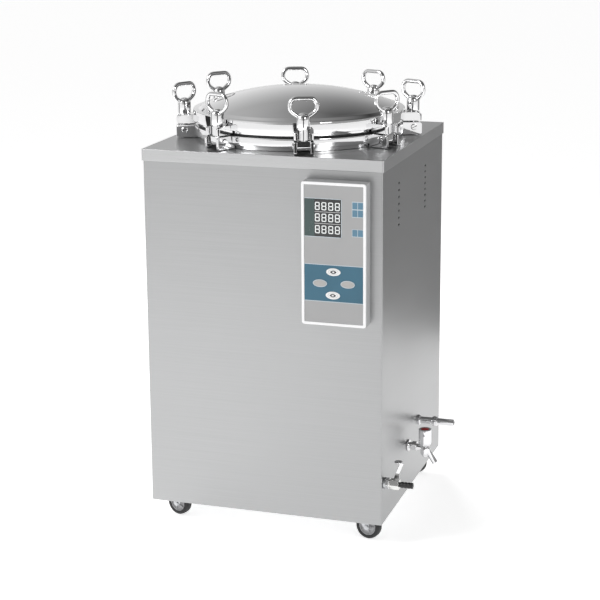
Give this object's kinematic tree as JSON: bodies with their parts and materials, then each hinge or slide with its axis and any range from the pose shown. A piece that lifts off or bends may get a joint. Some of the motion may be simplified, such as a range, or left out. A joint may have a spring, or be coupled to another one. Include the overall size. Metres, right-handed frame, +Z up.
{
  "type": "vertical autoclave",
  "caption": "Floor-standing top-loading autoclave on swivel casters: square steel cabinet, domed lid held by swing bolts with ring nuts, front control box and side valves.",
  "frame": {"origin": "on the floor, under the middle of the whole footprint with its fittings", "axes": "+Z up, the front with the control box faces -Y, the fittings are on the +X side"},
  "size_m": [0.6794, 0.652, 1.0658],
  "materials": {
    "brushed_steel": "brushed stainless sheet",
    "mirror_steel": "polished stainless",
    "chrome": "chrome plate",
    "zinc_plate": "satin zinc plate",
    "heater_steel": "heat-darkened steel",
    "grey_paint": "satin",
    "grey_film": "satin printed film",
    "grey_plastic": "satin",
    "white_plastic": "satin",
    "dark_glass": "gloss",
    "board_green": "matt",
    "seal_rubber": "matt",
    "tyre": "matt rubber with a grey hub",
    "black_plastic": "satin",
    "red_plastic": "gloss"
  },
  "bodies": {
    "cabinet": {"cabinet_wrap": "brushed_steel", "rear_panel": "brushed_steel", "top_cover": "brushed_steel", "base_tray": "brushed_steel", "pressure_vessel": "mirror_steel", "vessel_skirt": "brushed_steel", "lid_gasket": "seal_rubber", "heating_element": "heater_steel", "chamber_rack": "brushed_steel", "sterilizing_basket": "brushed_steel", "control_housing": "grey_paint", "control_bezel": "white_plastic", "control_overlay": "grey_film", "display_window": "dark_glass", "control_board": "board_green", "drain_valve_body": "chrome", "drain_hose_tail": "black_plastic", "exhaust_tap_body": "chrome", "steam_nozzle": "chrome", "cable_gland": "black_plastic", "clamp_pin_1": "mirror_steel", "clamp_pin_2": "mirror_steel", "clamp_pin_3": "mirror_steel", "clamp_pin_4": "mirror_steel", "clamp_pin_5": "mirror_steel", "clamp_pin_6": "mirror_steel", "clamp_pin_7": "mirror_steel", "clamp_pin_8": "mirror_steel"},
    "lid": {"lid": "mirror_steel"},
    "clamp_1": {"clamp_bolt_1": "mirror_steel"},
    "nut_1": {"eye_nut_1": "mirror_steel"},
    "clamp_2": {"clamp_bolt_2": "mirror_steel"},
    "nut_2": {"eye_nut_2": "mirror_steel"},
    "clamp_3": {"clamp_bolt_3": "mirror_steel"},
    "nut_3": {"eye_nut_3": "mirror_steel"},
    "clamp_4": {"clamp_bolt_4": "mirror_steel"},
    "nut_4": {"eye_nut_4": "mirror_steel"},
    "clamp_5": {"clamp_bolt_5": "mirror_steel"},
    "nut_5": {"eye_nut_5": "mirror_steel"},
    "clamp_6": {"clamp_bolt_6": "mirror_steel"},
    "nut_6": {"eye_nut_6": "mirror_steel"},
    "clamp_7": {"clamp_bolt_7": "mirror_steel"},
    "nut_7": {"eye_nut_7": "mirror_steel"},
    "clamp_8": {"clamp_bolt_8": "mirror_steel"},
    "nut_8": {"eye_nut_8": "mirror_steel"},
    "caster_front_left": {"caster_fork_front_left": "zinc_plate"},
    "wheel_front_left": {"caster_wheel_front_left": "tyre"},
    "caster_front_right": {"caster_fork_front_right": "zinc_plate"},
    "wheel_front_right": {"caster_wheel_front_right": "tyre"},
    "caster_rear_left": {"caster_fork_rear_left": "zinc_plate"},
    "wheel_rear_left": {"caster_wheel_rear_left": "tyre"},
    "caster_rear_right": {"caster_fork_rear_right": "zinc_plate"},
    "wheel_rear_right": {"caster_wheel_rear_right": "tyre"},
    "drain_lever": {"drain_valve_lever": "chrome"},
    "tap_knob": {"exhaust_tap_knob": "chrome", "exhaust_tap_cap": "red_plastic"},
    "key_up": {"key_up": "white_plastic"},
    "key_down": {"key_down": "white_plastic"},
    "key_left": {"key_left": "grey_plastic"},
    "key_right": {"key_right": "grey_plastic"}
  },
  "joints": [
    {"name": "lid_play", "type": "slide", "parent": "cabinet", "child": "lid", "axis": [0, 0, 1], "range_m": [0, 0.0004]},
    {"name": "clamp_hinge_1", "type": "hinge", "parent": "cabinet", "child": "clamp_1", "pos_m": [0.05102, -0.25711, 0.951], "axis": [0.9397, 0.342, 0], "range_deg": [0, 90]},
    {"name": "nut_spin_1", "type": "hinge", "parent": "clamp_1", "child": "nut_1", "pos_m": [0.05102, -0.25711, 1.001], "axis": [0, 0, 1], "continuous": true},
    {"name": "clamp_hinge_2", "type": "hinge", "parent": "cabinet", "child": "clamp_2", "pos_m": [0.20902, -0.11233, 0.951], "axis": [0.4226, 0.9063, 0], "range_deg": [0, 90]},
    {"name": "nut_spin_2", "type": "hinge", "parent": "clamp_2", "child": "nut_2", "pos_m": [0.20902, -0.11233, 1.001], "axis": [0, 0, 1], "continuous": true},
    {"name": "clamp_hinge_3", "type": "hinge", "parent": "cabinet", "child": "clamp_3", "pos_m": [0.21836, 0.10177, 0.951], "axis": [-0.342, 0.9397, 0], "range_deg": [0, 90]},
    {"name": "nut_spin_3", "type": "hinge", "parent": "clamp_3", "child": "nut_3", "pos_m": [0.21836, 0.10177, 1.001], "axis": [0, 0, 1], "continuous": true},
    {"name": "clamp_hinge_4", "type": "hinge", "parent": "cabinet", "child": "clamp_4", "pos_m": [0.07358, 0.25977, 0.951], "axis": [-0.9063, 0.4226, 0], "range_deg": [0, 90]},
    {"name": "nut_spin_4", "type": "hinge", "parent": "clamp_4", "child": "nut_4", "pos_m": [0.07358, 0.25977, 1.001], "axis": [0, 0, 1], "continuous": true},
    {"name": "clamp_hinge_5", "type": "hinge", "parent": "cabinet", "child": "clamp_5", "pos_m": [-0.14052, 0.26911, 0.951], "axis": [-0.9397, -0.342, 0], "range_deg": [0, 90]},
    {"name": "nut_spin_5", "type": "hinge", "parent": "clamp_5", "child": "nut_5", "pos_m": [-0.14052, 0.26911, 1.001], "axis": [0, 0, 1], "continuous": true},
    {"name": "clamp_hinge_6", "type": "hinge", "parent": "cabinet", "child": "clamp_6", "pos_m": [-0.29852, 0.12433, 0.951], "axis": [-0.4226, -0.9063, 0], "range_deg": [0, 90]},
    {"name": "nut_spin_6", "type": "hinge", "parent": "clamp_6", "child": "nut_6", "pos_m": [-0.29852, 0.12433, 1.001], "axis": [0, 0, 1], "continuous": true},
    {"name": "clamp_hinge_7", "type": "hinge", "parent": "cabinet", "child": "clamp_7", "pos_m": [-0.30786, -0.08977, 0.951], "axis": [0.342, -0.9397, 0], "range_deg": [0, 90]},
    {"name": "nut_spin_7", "type": "hinge", "parent": "clamp_7", "child": "nut_7", "pos_m": [-0.30786, -0.08977, 1.001], "axis": [0, 0, 1], "continuous": true},
    {"name": "clamp_hinge_8", "type": "hinge", "parent": "cabinet", "child": "clamp_8", "pos_m": [-0.16308, -0.24777, 0.951], "axis": [0.9063, -0.4226, 0], "range_deg": [0, 90]},
    {"name": "nut_spin_8", "type": "hinge", "parent": "clamp_8", "child": "nut_8", "pos_m": [-0.16308, -0.24777, 1.001], "axis": [0, 0, 1], "continuous": true},
    {"name": "swivel_front_left", "type": "hinge", "parent": "cabinet", "child": "caster_front_left", "pos_m": [-0.26975, -0.226, 0.07], "axis": [0, 0, 1], "continuous": true},
    {"name": "roll_front_left", "type": "hinge", "parent": "caster_front_left", "child": "wheel_front_left", "pos_m": [-0.29067, -0.2192, 0.031], "axis": [-0.309, -0.9511, 0], "continuous": true},
    {"name": "swivel_front_right", "type": "hinge", "parent": "cabinet", "child": "caster_front_right", "pos_m": [0.18025, -0.226, 0.07], "axis": [0, 0, 1], "continuous": true},
    {"name": "roll_front_right", "type": "hinge", "parent": "caster_front_right", "child": "wheel_front_right", "pos_m": [0.20177, -0.23057, 0.031], "axis": [0.2079, 0.9781, 0], "continuous": true},
    {"name": "swivel_rear_left", "type": "hinge", "parent": "cabinet", "child": "caster_rear_left", "pos_m": [-0.26975, 0.238, 0.07], "axis": [0, 0, 1], "continuous": true},
    {"name": "roll_rear_left", "type": "hinge", "parent": "caster_rear_left", "child": "wheel_rear_left", "pos_m": [-0.29142, 0.24182, 0.031], "axis": [-0.1736, -0.9848, 0], "continuous": true},
    {"name": "swivel_rear_right", "type": "hinge", "parent": "cabinet", "child": "caster_rear_right", "pos_m": [0.18025, 0.238, 0.07], "axis": [0, 0, 1], "continuous": true},
    {"name": "roll_rear_right", "type": "hinge", "parent": "caster_rear_right", "child": "wheel_rear_right", "pos_m": [0.20092, 0.23048, 0.031], "axis": [0.342, 0.9397, 0], "continuous": true},
    {"name": "drain_lever_turn", "type": "hinge", "parent": "cabinet", "child": "drain_lever", "pos_m": [0.27225, -0.246, 0.156], "axis": [0, 1, 0], "range_deg": [0, 90]},
    {"name": "tap_knob_turn", "type": "hinge", "parent": "cabinet", "child": "tap_knob", "pos_m": [0.29025, -0.036, 0.2], "axis": [0, 0, 1], "range_deg": [0, 360]},
    {"name": "key_up_press", "type": "slide", "parent": "cabinet", "child": "key_up", "axis": [0, 1, 0], "range_m": [0, 0.001], "stiffness_N_per_m": 400},
    {"name": "key_down_press", "type": "slide", "parent": "cabinet", "child": "key_down", "axis": [0, 1, 0], "range_m": [0, 0.001], "stiffness_N_per_m": 400},
    {"name": "key_left_press", "type": "slide", "parent": "cabinet", "child": "key_left", "axis": [0, 1, 0], "range_m": [0, 0.001], "stiffness_N_per_m": 400},
    {"name": "key_right_press", "type": "slide", "parent": "cabinet", "child": "key_right", "axis": [0, 1, 0], "range_m": [0, 0.001], "stiffness_N_per_m": 400}
  ]
}
